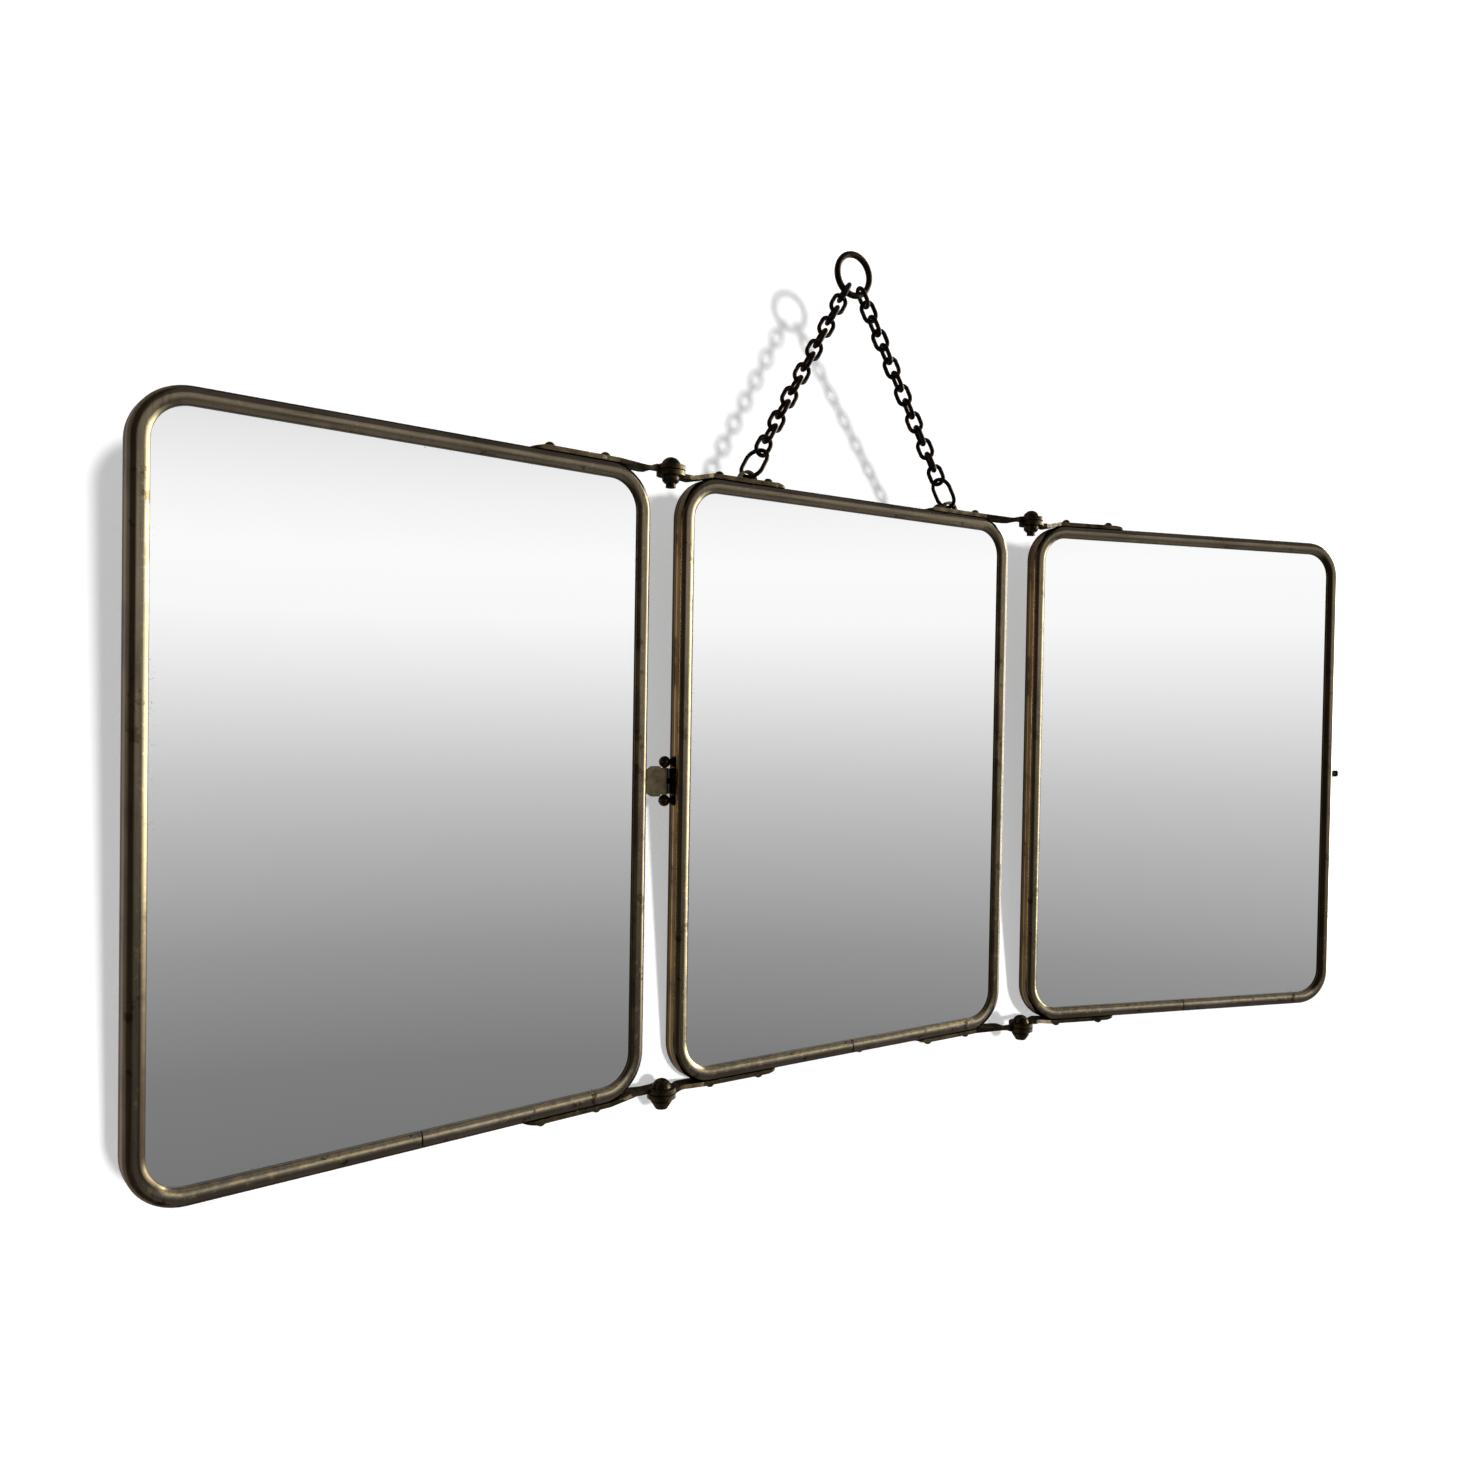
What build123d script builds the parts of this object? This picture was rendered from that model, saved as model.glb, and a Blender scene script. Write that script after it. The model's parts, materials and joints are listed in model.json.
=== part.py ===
"""A barber's triptych wall mirror: three rimmed mirrors on two vertical hinge lines, hung by a chain.

Millimetres. The front looks along -Y, the wall is on the +Y side, +X is to the right and +Z is up.
The geometry is laid out about the centre of the centre panel's front plane, and every node is
written about the origin: the point at the inside top of the hanging ring that bears on its nail.
"""
from build123d import *
import math
import os

# ---------------------------------------------------------------- driving dimensions
PANEL_WIDTH = 186.0
PANEL_HEIGHT = 250.0
PANEL_GAP = 14.0            # between two rims when the wings lie flat
CORNER_RADIUS = 18.0

LEFT_REST = 6.4             # degrees that each wing stands forward of flat at rest
RIGHT_REST = 16.7

# rolled rim, in section
RIM_DEPTH = 8.0
RIM_FACE = 6.2              # width seen from the front
RIM_WALL = 1.0
BEAD_DEPTH = 1.9            # front of the rim to the glass
BEAD_OUTER_ROUND = 2.6
BEAD_CROWN_AT = 3.0         # where the bead starts to fall towards the glass
BEAD_INNER_DROP = 1.1       # fall of the inner flank at the glass
GROOVE_WIDTH = 0.4
GROOVE_DEPTH = 0.3
SIDE_GROOVE_AT = 5.0        # depth of the fine line round the side
LIP_THICKNESS = 0.8
LIP_WIDTH = 3.0
REAR_ROUND = 0.5
SEAM_GAP = 0.6              # butt joint in the middle of the bottom rail

# what the rim holds
GLASS_THICKNESS = 3.0
CARD_THICKNESS = 1.3
BACK_THICKNESS = 0.7
BACK_FIELD_RISE = 2.3       # pressed field above the back plate's flange
BACK_FIELD_INSET = 18.0     # pressed field in from the outside of the rim
BACK_FIELD_RADIUS = 8.0
BACK_FIELD_EDGE = 0.8
BACK_CLEARANCE = 0.2
SPLICE_LENGTH = 34.0
SPLICE_THICKNESS = 1.2
SPLICE_CLEARANCE = 0.15
SPLICE_SCREW_AT = 7.0
SPLICE_SCREW_SHANK = 2.2
SPLICE_SCREW_HEAD = 3.4
SPLICE_SCREW_HEIGHT = 1.3

# hinge straps: the neck is measured from the pivot, the flat tail from the end of the rim's corner
STRAP_THICKNESS = 1.8
STRAP_WIDTH = 6.6
STRAP_BACK_MARGIN = 0.2     # from the strap's rear edge to the rim's rear face
STRAP_ON_STRAIGHT = 34.5    # tail on the rim's straight
STRAP_TAIL_TAPER = 5.0
STRAP_TAIL_THICKNESS = 0.6
STRAP_NECK = 5.2            # width beside the eye
STRAP_NECK_CLEARANCE = 0.3  # from the pivot's own plane to the neck
STRAP_FLAT_LEAD = 3.0       # the strap lies flat from this far before the straight
STRAP_REAR_LEAD = 3.0       # and its rear edge runs straight from this far before that
STRAP_LOW_FROM = 11.0
STRAP_JOGGLE_FROM = 9.2
STRAP_JOGGLE_TO = 6.6
RAISED_STRAP_DIP = 1.5      # how far a strap with the outer eye dips before it
EYE_DIAMETER = 11.6
OUTER_EYE_DROP = 0.5        # inner face of the outer eye, below the rim's outer face
EYE_SPACING = 0.5           # between the two eyes of a hinge, for the washer

# wing pivots: the left wing folds in first, and the right wing folds over it
LEFT_PIVOT_FORWARD = 2.0    # pivot in front of the front plane
FOLD_CLEARANCE = 0.5        # between the folded left wing and the right wing on it

# hinge screws
SCREW_SHANK = 4.0
SCREW_HEAD = 8.0
SCREW_HEAD_HEIGHT = 3.3
RUNNING_CLEARANCE = 0.05    # radial, where a strap turns on a shank
FACE_CLEARANCE = 0.1        # beside an eye that turns
WASHER_DIAMETER = 9.6
WASHER_THICKNESS = 0.4
TOP_NUT_DIAMETER = 7.0
TOP_NUT_HEIGHT = 3.1
TOP_NUT_ROUND = 1.9
BOTTOM_NUT_DIAMETER = 8.6
BOTTOM_NUT_TIP = 4.8
BOTTOM_NUT_HEIGHT = 4.4
SCREW_END = 1.5             # threaded end beyond a top nut

# strap rivets
RIVETS_ON_STRAIGHT = (1.7, 26.2)
RIVET_HEAD = 4.2
RIVET_HEAD_HEIGHT = 1.9
RIVET_SHANK = 2.2
RIVET_TAIL = 3.2
RIVET_TAIL_HEIGHT = 0.7

# chain
LEFT_BRIDGE_ON_STRAIGHT = 15.5
RIGHT_BRIDGE_ON_STRAIGHT = 19.0
BRIDGE_LENGTH = 9.0
BRIDGE_WIDTH = 2.5
BRIDGE_THICKNESS = 1.0
RING_DIAMETER = 21.0
RING_WIRE = 2.8
LINK_WIRE = 1.9
LINK_INNER_LENGTH = 6.9
LINK_WIDTH = 7.8
LINKS_PER_STRAND = 14       # each a quarter turn from the one before
LEFT_STRAND_TWIST = (-12.0, -2.0)       # first and last link, in degrees about the strand
RIGHT_STRAND_TWIST = (-14.0, -30.0)
EYE_WIRE = 1.8
EYE_LENGTH = 16.0
EYE_WIDTH = 12.0
LEFT_EYE_TWIST = 25.0       # as for the strands
RIGHT_EYE_TWIST = 4.0
LINK_PLAY = 0.2
RING_PLAY = 0.55
BRIDGE_PLAY = 0.9
EYE_OVER_STRAP = 0.25

# clasp on the centre panel's left side, and its stud on the right wing
CLASP_PIN = 1.6
CLASP_PIN_OFFSET = 2.5      # pin out from the rim's side
CLASP_PIN_FORWARD = 0.45    # pin in front of the rim's rear face
CLASP_BALL = 4.8
CLASP_BARREL = 3.0
CLASP_BARREL_HEIGHT = 10.8
CLASP_LEAF_THICKNESS = 0.7
CLASP_ROOT_HEIGHT = 12.3
CLASP_ROOT_LENGTH = 5.7
CLASP_SHOULDER_LENGTH = 4.8
CLASP_TONGUE_HEIGHT = 6.4
CLASP_TIP = 3.3             # tongue beyond the stud
CLASP_KNUCKLE = 2.4         # height and diameter of the base plate's knuckle
CLASP_KNUCKLE_CLEARANCE = 0.1
CLASP_WEB = 1.0             # thickness of the web from the knuckle to the base plate
CLASP_SHARE = 0.5           # of the left wing's turn from flat that the clasp's leaf takes
CLASP_BASE_THICKNESS = 0.5
CLASP_BASE_HEIGHT = 10.4
CLASP_BASE_REAR = 1.0       # base plate beyond the rim's rear face
CLASP_BASE_FRONT = 0.8      # base plate back from the rim's outer round
STUD_COLLAR = 3.4
STUD_NECK = 2.5
STUD_NECK_PLAY = 0.15       # along the stud, each side of the leaf
STUD_HEAD_LENGTH = 1.3
STUD_SLOT = 0.9
STUD_SLOT_DEPTH = 1.0
CLASP_HOLE = 3.0

# ---------------------------------------------------------------- derived places
PIVOT_X = PANEL_WIDTH / 2 + PANEL_GAP / 2
STRAIGHT_FROM = PANEL_GAP / 2 + CORNER_RADIUS       # from the pivot
STRAP_FLAT_FROM = STRAIGHT_FROM - STRAP_FLAT_LEAD
STRAP_LENGTH = STRAIGHT_FROM + STRAP_ON_STRAIGHT
RIVET_AT = [STRAIGHT_FROM + distance for distance in RIVETS_ON_STRAIGHT]
LEFT_BRIDGE_AT = STRAIGHT_FROM + LEFT_BRIDGE_ON_STRAIGHT
RIGHT_BRIDGE_AT = STRAIGHT_FROM + RIGHT_BRIDGE_ON_STRAIGHT
FLANGE_FRONT = BEAD_DEPTH + GLASS_THICKNESS + CARD_THICKNESS
BACK_FACE = FLANGE_FRONT + BACK_THICKNESS + BACK_FIELD_RISE
LEFT_PIVOT_Y = -LEFT_PIVOT_FORWARD
RIGHT_PIVOT_Y = LEFT_PIVOT_Y - (BACK_FACE + FOLD_CLEARANCE) / 2
GLASS_EDGE = RIM_WALL + SPLICE_THICKNESS

STRAP_MIDDLE_Y = RIM_DEPTH - STRAP_BACK_MARGIN - STRAP_WIDTH / 2
INNER_EYE_DROP = OUTER_EYE_DROP + STRAP_THICKNESS + EYE_SPACING

RING_RADIUS = (RING_DIAMETER - RING_WIRE) / 2
LINK_MIDLINE = LINK_INNER_LENGTH + LINK_WIRE
LINK_PITCH = LINK_INNER_LENGTH - LINK_PLAY
EYE_MIDLINE = EYE_LENGTH - EYE_WIRE
EYE_BEND = (EYE_WIDTH - EYE_WIRE) / 2

BRIDGE_X = PIVOT_X - (LEFT_BRIDGE_AT + RIGHT_BRIDGE_AT) / 2
RING_X = (LEFT_BRIDGE_AT - RIGHT_BRIDGE_AT) / 2
CROWN_Z = PANEL_HEIGHT / 2 + STRAP_THICKNESS + EYE_OVER_STRAP + EYE_WIRE / 2
RING_Y = BACK_FACE - RING_WIRE / 2
FIRST_LINK = RING_RADIUS + LINK_MIDLINE / 2 - (RING_WIRE + LINK_WIRE) / 2 - RING_PLAY
LAST_LINK = FIRST_LINK + (LINKS_PER_STRAND - 1) * LINK_PITCH
EYE_CENTRE = LAST_LINK + (LINK_MIDLINE + EYE_MIDLINE) / 2 - (LINK_WIRE + EYE_WIRE) / 2 - LINK_PLAY
STRAND_LENGTH = EYE_CENTRE + EYE_MIDLINE / 2 - EYE_BEND
BEND_CENTRE_X = BRIDGE_X / (1 + EYE_BEND / STRAND_LENGTH)
STRAND_SLOPE = math.asin(BEND_CENTRE_X / STRAND_LENGTH)
BEND_CENTRE_Z = CROWN_Z + EYE_BEND * math.sqrt(
    math.cos(STRAND_SLOPE)**2
    + (math.sin(STRAND_SLOPE) * math.sin(math.radians(max(LEFT_EYE_TWIST, RIGHT_EYE_TWIST))))**2)
RING_RISE = math.sqrt(STRAND_LENGTH**2 - BEND_CENTRE_X**2 - (RING_Y - STRAP_MIDDLE_Y)**2)
RING_CENTRE = Vector(RING_X, RING_Y, BEND_CENTRE_Z + RING_RISE)
NAIL_POINT = RING_CENTRE + Vector(0, 0, RING_RADIUS - RING_WIRE / 2)

CLASP_X = -PANEL_WIDTH / 2 - CLASP_PIN_OFFSET
CLASP_Y = RIM_DEPTH - CLASP_PIN_FORWARD
STUD_Y = RIM_DEPTH / 2
FOLDED_STUD_Y = 2 * RIGHT_PIVOT_Y - STUD_Y
CLASP_REACH = CLASP_Y - FOLDED_STUD_Y
LEAF_FROM_SIDE = CLASP_PIN_OFFSET + CLASP_BARREL / 2 - CLASP_LEAF_THICKNESS

WING_SHIFT = PANEL_WIDTH + PANEL_GAP
TO_ORIGIN = Location(-NAIL_POINT)


# ---------------------------------------------------------------- small helpers
def upright_plate(width, height, radius, front, back):
    """A plate with round corners that faces the front, from depth front to depth back."""
    outline = Plane.XZ.offset(-front) * RectangleRounded(width, height, radius)
    return extrude(outline, amount=front - back)


def rod(start, end, diameter):
    """A round rod between two points."""
    axis = Vector(end) - Vector(start)
    return extrude(Plane(origin=start, z_dir=axis) * Circle(diameter / 2), amount=axis.length)


def dome(base, direction, diameter, height):
    """A domed head: the cap of a ball, flat at base and bulging along direction."""
    ball_radius = (diameter**2 / 4 + height**2) / (2 * height)
    half_angle = math.atan2(diameter / 2, ball_radius - height) / 2
    middle = (ball_radius * math.sin(half_angle), height - ball_radius * (1 - math.cos(half_angle)))
    arc = ThreePointArc((diameter / 2, 0), middle, (0, height))
    half = make_face(Wire([Line((0, 0), (diameter / 2, 0)).edge(), arc.edge(),
                           Line((0, height), (0, 0)).edge()]))
    cap = revolve(Plane.XZ * half, axis=Axis.Z)
    return Plane(origin=base, z_dir=direction) * cap


def oval_loop(centre, along, across, midline_length, midline_width, wire):
    """One welded link: wire of round section along two straights and two half circles."""
    straight = (midline_length - midline_width) / 2
    bend = midline_width / 2
    frame = Plane(origin=centre, x_dir=along, z_dir=Vector(along).cross(Vector(across)))
    path = frame * Wire([
        Line((-straight, -bend), (straight, -bend)).edge(),
        ThreePointArc((straight, -bend), (straight + bend, 0), (straight, bend)).edge(),
        Line((straight, bend), (-straight, bend)).edge(),
        ThreePointArc((-straight, bend), (-straight - bend, 0), (-straight, -bend)).edge(),
    ])
    start = frame.from_local_coords((-straight, -bend))
    section = Plane(origin=start, z_dir=frame.x_dir) * Circle(wire / 2)
    return sweep(section, path=path)


# ---------------------------------------------------------------- one panel
def rim_section():
    """Section of the rim: depth along X, width in from the outside along Y."""
    flank = RIM_FACE - BEAD_CROWN_AT
    flank_radius = (flank**2 + BEAD_INNER_DROP**2) / (2 * BEAD_INNER_DROP)
    half_turn = math.asin(flank / flank_radius) / 2
    flank_middle = (flank_radius * (1 - math.cos(half_turn)),
                    BEAD_CROWN_AT + flank_radius * math.sin(half_turn))
    rear = RIM_DEPTH - REAR_ROUND
    bead = BEAD_OUTER_ROUND
    diagonal = 1 - math.sqrt(0.5)
    runs = [
        Polyline((RIM_DEPTH, LIP_WIDTH), (RIM_DEPTH, REAR_ROUND)),
        ThreePointArc((RIM_DEPTH, REAR_ROUND),
                      (RIM_DEPTH - REAR_ROUND * diagonal, REAR_ROUND * diagonal), (rear, 0)),
        Polyline((rear, 0), (SIDE_GROOVE_AT + GROOVE_WIDTH / 2, 0), (SIDE_GROOVE_AT, GROOVE_DEPTH),
                 (SIDE_GROOVE_AT - GROOVE_WIDTH / 2, 0), (bead, 0)),
        ThreePointArc((bead, 0), (bead * diagonal, bead * diagonal), (0, bead)),
        Polyline((0, bead), (0, BEAD_CROWN_AT)),
        ThreePointArc((0, BEAD_CROWN_AT), flank_middle, (BEAD_INNER_DROP, RIM_FACE)),
        Polyline((BEAD_INNER_DROP, RIM_FACE), (BEAD_DEPTH, RIM_FACE), (BEAD_DEPTH, RIM_WALL),
                 (RIM_DEPTH - LIP_THICKNESS, RIM_WALL), (RIM_DEPTH - LIP_THICKNESS, LIP_WIDTH),
                 (RIM_DEPTH, LIP_WIDTH)),
    ]
    return make_face(Wire([edge for run in runs for edge in run.edges()]))


def rim():
    """The rim, bent round the panel from one side of the bottom seam to the other."""
    half_width, half_height = PANEL_WIDTH / 2, PANEL_HEIGHT / 2
    path = Plane.XZ * FilletPolyline(
        (SEAM_GAP / 2, -half_height), (half_width, -half_height), (half_width, half_height),
        (-half_width, half_height), (-half_width, -half_height), (-SEAM_GAP / 2, -half_height),
        radius=CORNER_RADIUS)
    start = Plane(origin=(SEAM_GAP / 2, 0, -half_height), x_dir=(0, 1, 0), z_dir=(1, 0, 0))
    return sweep(start * rim_section(), path=path.wire())


def glass():
    return upright_plate(PANEL_WIDTH - 2 * GLASS_EDGE, PANEL_HEIGHT - 2 * GLASS_EDGE,
                         CORNER_RADIUS - GLASS_EDGE, BEAD_DEPTH, BEAD_DEPTH + GLASS_THICKNESS)


def packing_card():
    return upright_plate(PANEL_WIDTH - 2 * GLASS_EDGE, PANEL_HEIGHT - 2 * GLASS_EDGE,
                         CORNER_RADIUS - GLASS_EDGE, BEAD_DEPTH + GLASS_THICKNESS, FLANGE_FRONT)


def back_plate():
    """Pressed sheet: a flange behind the rim's lip, and a raised field that meets the wall."""
    inset = RIM_WALL + BACK_CLEARANCE
    flange = upright_plate(PANEL_WIDTH - 2 * inset, PANEL_HEIGHT - 2 * inset,
                           CORNER_RADIUS - inset, FLANGE_FRONT, FLANGE_FRONT + BACK_THICKNESS)
    field_width = PANEL_WIDTH - 2 * BACK_FIELD_INSET
    field_height = PANEL_HEIGHT - 2 * BACK_FIELD_INSET
    field = upright_plate(field_width, field_height, BACK_FIELD_RADIUS,
                          FLANGE_FRONT + BACK_THICKNESS, BACK_FACE)
    field = chamfer(field.faces().sort_by(Axis.Y)[-1].edges(), BACK_FIELD_EDGE)
    hollow = upright_plate(field_width - 2 * BACK_THICKNESS, field_height - 2 * BACK_THICKNESS,
                           BACK_FIELD_RADIUS - BACK_THICKNESS, FLANGE_FRONT,
                           BACK_FACE - BACK_THICKNESS)
    return flange + field - hollow


def splice():
    """Flat bar inside the bottom rail that joins the rim's two ends and carries the glass."""
    front, back = BEAD_DEPTH, FLANGE_FRONT - SPLICE_CLEARANCE
    bottom = -PANEL_HEIGHT / 2 + RIM_WALL
    return Pos(0, (front + back) / 2, bottom + SPLICE_THICKNESS / 2) * Box(
        SPLICE_LENGTH, back - front, SPLICE_THICKNESS)


def splice_screw():
    """The screw that holds the centre panel's splice, with its end showing below the rail."""
    below = -PANEL_HEIGHT / 2
    middle = STRAP_MIDDLE_Y
    shank = rod((SPLICE_SCREW_AT, middle, below), (SPLICE_SCREW_AT, middle, below + GLASS_EDGE),
                SPLICE_SCREW_SHANK)
    return shank + dome((SPLICE_SCREW_AT, middle, below), (0, 0, -1),
                        SPLICE_SCREW_HEAD, SPLICE_SCREW_HEIGHT)


# ---------------------------------------------------------------- hinge straps
def place_corner(shape, pivot_x, into_panel, upward):
    """Put a shape made at a pivot, with the panel towards +X and the outside towards +Z."""
    if into_panel < 0:
        shape = mirror(shape, about=Plane.YZ)
    if upward < 0:
        shape = mirror(shape, about=Plane.XY)
    return Pos(pivot_x, 0, upward * PANEL_HEIGHT / 2) * shape


def strap(pivot_y, outer_eye, turning):
    """A cranked strap: an eye at the pivot, a joggled neck, and a flat tail on the rim."""
    drop = -OUTER_EYE_DROP if outer_eye else -INNER_EYE_DROP
    low = -RAISED_STRAP_DIP if outer_eye else drop
    taper_from = STRAP_LENGTH - STRAP_TAIL_TAPER
    lower = [(-EYE_DIAMETER, drop), (STRAP_JOGGLE_TO, drop), (STRAP_JOGGLE_FROM, low),
             (STRAP_LOW_FROM, low), (STRAP_FLAT_FROM, 0), (STRAP_LENGTH, 0)]
    upper = [(s, z + STRAP_THICKNESS) for s, z in lower[:-1]] + [
        (taper_from, STRAP_THICKNESS), (STRAP_LENGTH, STRAP_TAIL_THICKNESS)]
    side = Plane.XZ * make_face(Polyline(*lower, *reversed(upper), close=True))
    ribbon = extrude(side, amount=2 * RIM_DEPTH + EYE_DIAMETER, both=True)

    front = STRAP_MIDDLE_Y - STRAP_WIDTH / 2
    rear = STRAP_MIDDLE_Y + STRAP_WIDTH / 2
    neck_front = pivot_y + STRAP_NECK_CLEARANCE
    neck_rear = neck_front + STRAP_NECK
    round_from = STRAP_LENGTH - STRAP_WIDTH / 2
    outline = [
        Polyline((0, neck_rear), (0, neck_front), (STRAP_JOGGLE_FROM, neck_front),
                 (STRAP_FLAT_FROM, front), (round_from, front)),
        ThreePointArc((round_from, front), (STRAP_LENGTH, STRAP_MIDDLE_Y), (round_from, rear)),
        Polyline((round_from, rear), (STRAP_FLAT_FROM - STRAP_REAR_LEAD, rear),
                 (STRAP_JOGGLE_TO, neck_rear), (0, neck_rear)),
    ]
    plan = make_face(Wire([edge for run in outline for edge in run.edges()]))
    plan += Pos(0, pivot_y) * Circle(EYE_DIAMETER / 2)
    blank = ribbon & extrude(plan, amount=PANEL_GAP, both=True)

    bore = SCREW_SHANK + (2 * RUNNING_CLEARANCE if turning else 0)
    blank -= rod((0, pivot_y, -PANEL_GAP), (0, pivot_y, PANEL_GAP), bore)
    for distance in RIVET_AT:
        blank -= rod((distance, STRAP_MIDDLE_Y, -1), (distance, STRAP_MIDDLE_Y, PANEL_GAP), RIVET_SHANK)
    return blank


def strap_rivets():
    """The two rivets of a strap: a dome outside, a shank, and a flat tail inside the rim."""
    rivets = []
    for distance in RIVET_AT:
        top = (distance, STRAP_MIDDLE_Y, STRAP_THICKNESS)
        inside = (distance, STRAP_MIDDLE_Y, -RIM_WALL)
        tail = (distance, STRAP_MIDDLE_Y, -RIM_WALL - RIVET_TAIL_HEIGHT)
        rivets.append(dome(top, (0, 0, 1), RIVET_HEAD, RIVET_HEAD_HEIGHT)
                      + rod(inside, top, RIVET_SHANK) + rod(tail, inside, RIVET_TAIL))
    return rivets


def rivet_holes():
    """Cutters for the rivets of one strap through the rim's wall."""
    return [rod((distance, STRAP_MIDDLE_Y, -RIM_WALL - 0.1), (distance, STRAP_MIDDLE_Y, 0.1),
                RIVET_SHANK) for distance in RIVET_AT]


def bridge(middle):
    """A strip on the strap, arched over the end of the chain's eye link, at middle from the pivot."""
    start, end = middle - BRIDGE_LENGTH / 2, middle + BRIDGE_LENGTH / 2
    under = STRAP_THICKNESS + EYE_OVER_STRAP + EYE_WIRE + BRIDGE_PLAY
    outer = ThreePointArc((start, STRAP_THICKNESS), (middle, under + BRIDGE_THICKNESS),
                          (end, STRAP_THICKNESS))
    inner = ThreePointArc((end - BRIDGE_THICKNESS, STRAP_THICKNESS), (middle, under),
                          (start + BRIDGE_THICKNESS, STRAP_THICKNESS))
    feet = [Line(outer @ 1, inner @ 0), Line(inner @ 1, outer @ 0)]
    arch = make_face(Wire([outer.edge(), feet[0].edge(), inner.edge(), feet[1].edge()]))
    front = Plane.XZ.offset(BRIDGE_WIDTH / 2 - STRAP_MIDDLE_Y)
    return extrude(front * arch, amount=-BRIDGE_WIDTH)


# ---------------------------------------------------------------- hinge screws
def hinge_hardware(pivot_y, upward, wing_is_outer):
    """Screw, washer and nut of one hinge, with the head always upward.

    Heights are outward from the rim's outer face, as for the straps. A face beside the wing's
    eye has a running gap, and a face beside the centre panel's eye is tight.
    """
    outer_face = -OUTER_EYE_DROP + STRAP_THICKNESS
    inner_face = -INNER_EYE_DROP
    outer_gap = FACE_CLEARANCE if wing_is_outer else 0
    inner_gap = 0 if wing_is_outer else FACE_CLEARANCE
    outer_seat = outer_face + outer_gap
    inner_seat = inner_face - inner_gap
    washer_from = (-OUTER_EYE_DROP - EYE_SPACING if wing_is_outer
                   else -OUTER_EYE_DROP - WASHER_THICKNESS)
    bore = SCREW_SHANK + 2 * RUNNING_CLEARANCE
    washer = (rod((0, pivot_y, washer_from), (0, pivot_y, washer_from + WASHER_THICKNESS),
                  WASHER_DIAMETER)
              - rod((0, pivot_y, -PANEL_GAP), (0, pivot_y, PANEL_GAP), bore))
    if upward > 0:
        nut_end = inner_seat - TOP_NUT_HEIGHT
        head = dome((0, pivot_y, outer_seat), (0, 0, 1), SCREW_HEAD, SCREW_HEAD_HEIGHT)
        screw = head + rod((0, pivot_y, nut_end - SCREW_END), (0, pivot_y, outer_seat), SCREW_SHANK)
        nut = rod((0, pivot_y, nut_end), (0, pivot_y, inner_seat), TOP_NUT_DIAMETER)
        nut = fillet(nut.edges().group_by(Axis.Z)[0], TOP_NUT_ROUND)
    else:
        nut_end = outer_seat + BOTTOM_NUT_HEIGHT
        head = dome((0, pivot_y, inner_seat), (0, 0, -1), SCREW_HEAD, SCREW_HEAD_HEIGHT)
        screw = head + rod((0, pivot_y, inner_seat), (0, pivot_y, nut_end), SCREW_SHANK)
        collar = BOTTOM_NUT_HEIGHT / 3
        cone_height = BOTTOM_NUT_HEIGHT - collar
        nut = rod((0, pivot_y, outer_seat), (0, pivot_y, outer_seat + collar), BOTTOM_NUT_DIAMETER)
        nut += Pos(0, pivot_y, outer_seat + collar + cone_height / 2) * Cone(
            BOTTOM_NUT_DIAMETER / 2, BOTTOM_NUT_TIP / 2, cone_height)
    nut -= rod((0, pivot_y, -PANEL_GAP), (0, pivot_y, PANEL_GAP), SCREW_SHANK)
    return screw, washer, nut


# ---------------------------------------------------------------- chain
def strand(side):
    """The small links and the eye link of one strand, from the ring down to its bridge."""
    bottom = Vector(RING_X + side * BEND_CENTRE_X, STRAP_MIDDLE_Y, BEND_CENTRE_Z)
    along = (bottom - RING_CENTRE).normalized()
    to_side = along.cross(Vector(0, 1, 0)).normalized()
    to_front = along.cross(to_side).normalized()

    def across(degrees):
        turn = math.radians(degrees)
        return to_front * math.cos(turn) + to_side * math.sin(turn)

    (first, last), eye_twist = ((LEFT_STRAND_TWIST, LEFT_EYE_TWIST) if side < 0
                                else (RIGHT_STRAND_TWIST, RIGHT_EYE_TWIST))
    step = (last - first) / (LINKS_PER_STRAND - 1)
    links = [oval_loop(RING_CENTRE + along * (FIRST_LINK + index * LINK_PITCH), along,
                       across(first + index * step + 90 * (index % 2)),
                       LINK_MIDLINE, LINK_WIDTH - LINK_WIRE, LINK_WIRE)
             for index in range(LINKS_PER_STRAND)]
    eye = oval_loop(RING_CENTRE + along * EYE_CENTRE, along, across(eye_twist),
                    EYE_MIDLINE, EYE_WIDTH - EYE_WIRE, EYE_WIRE)
    return links, eye


def ring():
    return Plane(origin=RING_CENTRE, z_dir=(0, 1, 0)) * Torus(RING_RADIUS, RING_WIRE / 2)


# ---------------------------------------------------------------- clasp
def clasp_base():
    """Plate on the rim's side with one knuckle, bored to grip the pin."""
    side_x = -PANEL_WIDTH / 2
    front, rear = BEAD_OUTER_ROUND + CLASP_BASE_FRONT, RIM_DEPTH + CLASP_BASE_REAR
    plate = Pos(side_x - CLASP_BASE_THICKNESS / 2, (front + rear) / 2, 0) * Box(
        CLASP_BASE_THICKNESS, rear - front, CLASP_BASE_HEIGHT)
    knuckle = rod((CLASP_X, CLASP_Y, -CLASP_KNUCKLE / 2), (CLASP_X, CLASP_Y, CLASP_KNUCKLE / 2),
                  CLASP_KNUCKLE)
    web_y = CLASP_Y + CLASP_KNUCKLE_CLEARANCE + CLASP_WEB / 2
    web = Pos((CLASP_X + side_x) / 2, web_y, 0) * Box(CLASP_PIN_OFFSET, CLASP_WEB, CLASP_KNUCKLE)
    bore = rod((CLASP_X, CLASP_Y, -CLASP_KNUCKLE), (CLASP_X, CLASP_Y, CLASP_KNUCKLE), CLASP_PIN)
    return plate + (web + knuckle - bore)


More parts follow.
